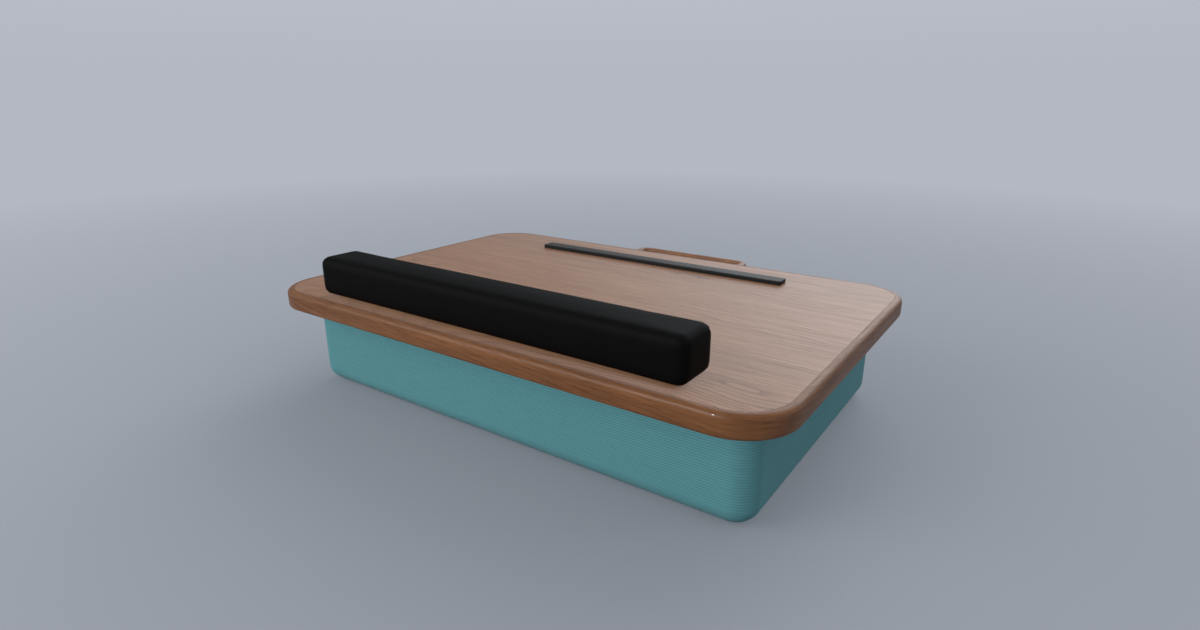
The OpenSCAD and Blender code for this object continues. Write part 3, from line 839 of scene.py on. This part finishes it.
def make_cover():
    low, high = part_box("cover_base")
    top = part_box("cover_sides")[1].z
    floor_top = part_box("floor_cushion")[1].z
    high.z = top
    piece = add_block("padded_cover", low, high)
    pick_edges(piece, upright)
    bevel(box_corner, 18)
    pick_edges(piece, level_at(low.z))
    bevel(box_bottom_round, 12)
    pick_faces(piece, facing((0, 0, 1), top))
    bpy.ops.mesh.inset(thickness=cover_t)
    bpy.ops.mesh.extrude_region_move(TRANSFORM_OT_translate={"value": (0, 0, floor_top - top)})
    leave_edit()

    def rule(point, face):
        if face.normal.z < -0.9999:
            return point.x, point.y, 0.0
        side = 1 if face.center.x > 0 else -1
        along, inward = outline_place(point.x, point.y, high.x, high.y, box_corner, side)
        section = point.z
        if point.z < box_bottom_round:
            turn = math.atan2(box_bottom_round - point.z, max(box_bottom_round - inward, 0.0))
            section = box_bottom_round - box_bottom_round * turn
        return along, section, inward
    pick_faces(piece, lambda c, n: True)
    bpy.ops.mesh.bisect(plane_co=(0, 0, 0), plane_no=(1, 0, 0))
    leave_edit()
    write_grain(piece, rule)
    smooth(piece)
    return piece


cover = make_cover()
cover.data.materials.append(cloth_finish())
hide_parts("cover_base", "cover_sides", "floor_cushion", "foam_front", "foam_rear",
            "foam_left", "foam_right")
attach(cover, "box")

# Box carcass. Birch plywood walls tongued into corner posts, with a plywood
# floor let into them, rails of the lid's wood over their tops, and packing
# blocks behind the hinges.
ply_light = (0.62, 0.45, 0.28, 1.0)
ply_dark = (0.42, 0.27, 0.15, 1.0)
plywood = wood_finish("plywood", ply_light, ply_dark, 240.0, 0.35, 0.5, 0.4, 0.0)
for node in ("front_wall", "rear_wall", "left_wall", "right_wall", "corner_posts", "floor_panel",
             "hinge_blocks", "wrist_rest_board", "handle_dowels"):
    dress(node, plywood)
rim_wood = wood_finish("rim_wood", lipping_light, lipping_dark, 260.0, 0.35, 0.7, 0.35, 0.1)
for side in ("front", "rear", "left", "right"):
    dress("rim_rail_" + side, rim_wood)

# Felt lining. Grey pressed felt glued over the floor and the walls of the
# storage space.
felt_t = 1.5 * mm
felt_fold = 1.2 * mm
felt_grey = (0.120, 0.128, 0.135, 1.0)


def felt_finish():
    material, nodes, links, shader = new_material("grey_felt")
    tree = material.node_tree
    place = nodes.new("ShaderNodeTexCoord").outputs["Object"]
    fibres = noise(tree, place, 900.0, 4.0, 0.7, 1.5)
    tufts = noise(tree, place, 160.0, 3.0)
    pale = tuple(1.7 * c for c in felt_grey[:3]) + (1.0,)
    links.new(blend_colour(tree, fibres, felt_grey, pale), shader.inputs["Base Color"])
    add_bump(nodes, links, shader, arithmetic(tree, "MULTIPLY_ADD", tufts, 1.5, fibres), 0.0005)
    shader.inputs["Roughness"].default_value = 0.95
    shader.inputs["Sheen Weight"].default_value = 0.4
    return material


def make_felt():
    low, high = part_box("felt_lining")
    piece = add_block("felt_tray", low, high)
    pick_faces(piece, facing((0, 0, 1), high.z))
    bpy.ops.mesh.inset(thickness=felt_t)
    drop = low.z + felt_t - high.z
    bpy.ops.mesh.extrude_region_move(TRANSFORM_OT_translate={"value": (0, 0, drop)})
    leave_edit()
    inside = 1e-5 - felt_t

    def in_tray(point):
        within = abs(point.x) < high.x + inside and abs(point.y) < high.y + inside
        return within and point.z < high.z - felt_t
    pick_edges(piece, lambda a, b: in_tray(a) and in_tray(b))
    bevel(felt_fold, 4)

    def in_corner(a, b):
        return upright(a, b) and abs(a.x) < high.x + inside and abs(a.y) < high.y + inside
    pick_edges(piece, in_corner)
    bevel(felt_fold, 4)
    smooth(piece)
    return piece


felt = make_felt()
felt.data.materials.append(felt_finish())
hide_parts("felt_lining")
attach(felt, "box")

# Metal and rubber fittings. Brass hinges, zinc-plated strike plates let into
# the lid, nickel-plated magnets pressed into the rim, and rubber bumpers.
brass_colour = (0.62, 0.43, 0.19, 1.0)
zinc_colour = (0.56, 0.57, 0.58, 1.0)
nickel_colour = (0.66, 0.65, 0.63, 1.0)


def metal_finish(name, colour, roughness):
    material, nodes, links, shader = new_material(name)
    tree = material.node_tree
    place = nodes.new("ShaderNodeTexCoord").outputs["Object"]
    scratches = noise(tree, stretched(tree, place, (60.0, 1800.0, 1800.0)), 1.0, 3.0, 0.7)
    tarnish = noise(tree, place, 45.0, 4.0, 0.6)
    dull = tuple(0.72 * c for c in colour[:3]) + (1.0,)
    links.new(blend_colour(tree, tarnish, colour, dull), shader.inputs["Base Color"])
    worn = arithmetic(tree, "MULTIPLY_ADD", scratches, 0.25, roughness)
    links.new(worn, shader.inputs["Roughness"])
    add_bump(nodes, links, shader, scratches, 0.00003)
    shader.inputs["Metallic"].default_value = 1.0
    return material


brass = metal_finish("brushed_brass", brass_colour, 0.22)
zinc = metal_finish("zinc_plate", zinc_colour, 0.28)
nickel = metal_finish("nickel_plate", nickel_colour, 0.12)
for node in ("hinge_lid_leaf_left", "hinge_lid_leaf_right", "hinge_box_leaf_left",
             "hinge_box_leaf_right", "hinge_pin_left", "hinge_pin_right"):
    dress(node, brass)
dress("strike_plates", zinc)
dress("catch_magnets", nickel)
dress("lid_bumpers", rubber)

# Wood screws. Brass in the hinges and the rim, zinc-plated under the lid, all
# countersunk flush. Each head has a cross recess, left at its own turn by the
# driver.
recess_span = 3.6 * mm
recess_w = 0.8 * mm
recess_depth = 0.9 * mm
screw_turn = 41
screws_apart = 8 * mm


def head_centres(mesh, aim):
    """The middles of the screw heads that look along aim."""
    face = max(point.co.dot(aim) for point in mesh.vertices)
    heads = []
    for point in mesh.vertices:
        if point.co.dot(aim) < face - 1e-5:
            continue
        near = [head for head in heads if (head[0] - point.co).length < screws_apart]
        if near:
            near[0].append(point.co.copy())
        else:
            heads.append([point.co.copy()])
    return [
        Vector([(min(p[axis] for p in head) + max(p[axis] for p in head)) / 2 for axis in range(3)])
        for head in heads
    ]


def recessed_screws(node, aim, metal):
    """A copy of a node's screws with a cross cut in each head."""
    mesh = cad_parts[node].data.copy()
    mesh.materials.clear()
    mesh.materials.append(metal)
    piece = bpy.data.objects.new(node + "_recessed", mesh)
    bpy.context.collection.objects.link(piece)
    edit(piece, "VERT")
    bpy.ops.mesh.select_all(action="SELECT")
    bpy.ops.mesh.remove_doubles(threshold=1e-6)
    leave_edit()
    outward = aim.to_track_quat("Z", "Y").to_matrix()
    cutters = []
    for count, centre in enumerate(head_centres(piece.data, aim)):
        for arm in (0, 90):
            bpy.ops.mesh.primitive_cube_add(size=1, location=centre)
            cutter = bpy.context.object
            cutter.scale = (recess_span, recess_w, 2 * recess_depth)
            turn = Matrix.Rotation(math.radians(screw_turn * count + arm), 3, "Z")
            cutter.rotation_euler = (outward @ turn).to_euler()
            cutters.append(cutter)
    for cutter in cutters:
        cutter.select_set(True)
    bpy.ops.object.join()
    cutter = bpy.context.object
    run_modifier(
        piece, "BOOLEAN", object=cutter, operation="DIFFERENCE", solver="EXACT", use_self=True)
    bpy.data.objects.remove(cutter)
    edit(piece, "VERT")
    bpy.ops.mesh.select_all(action="SELECT")
    bpy.ops.mesh.remove_doubles(threshold=1e-6)
    bpy.ops.mesh.dissolve_degenerate(threshold=1e-6)
    bpy.ops.mesh.delete_loose()
    leave_edit()
    smooth(piece, 30)
    return piece


for node, aim, body, metal, metal_slot in (
    ("wrist_rest_screws", (0, 0, -1), "lid", zinc, "screw_steel"),
    ("strike_plate_screws", (0, 0, -1), "lid", zinc, "screw_steel"),
    ("hinge_lid_screws", (0, 0, -1), "lid", brass, "hinge_brass"),
    ("hinge_box_screws", (0, 1, 0), "box", brass, "hinge_brass"),
    ("rim_screws", (0, 0, 1), "box", brass, "hinge_brass"),
):
    screws = recessed_screws(node, Vector(aim), metal)
    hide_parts(node)
    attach(screws, body)
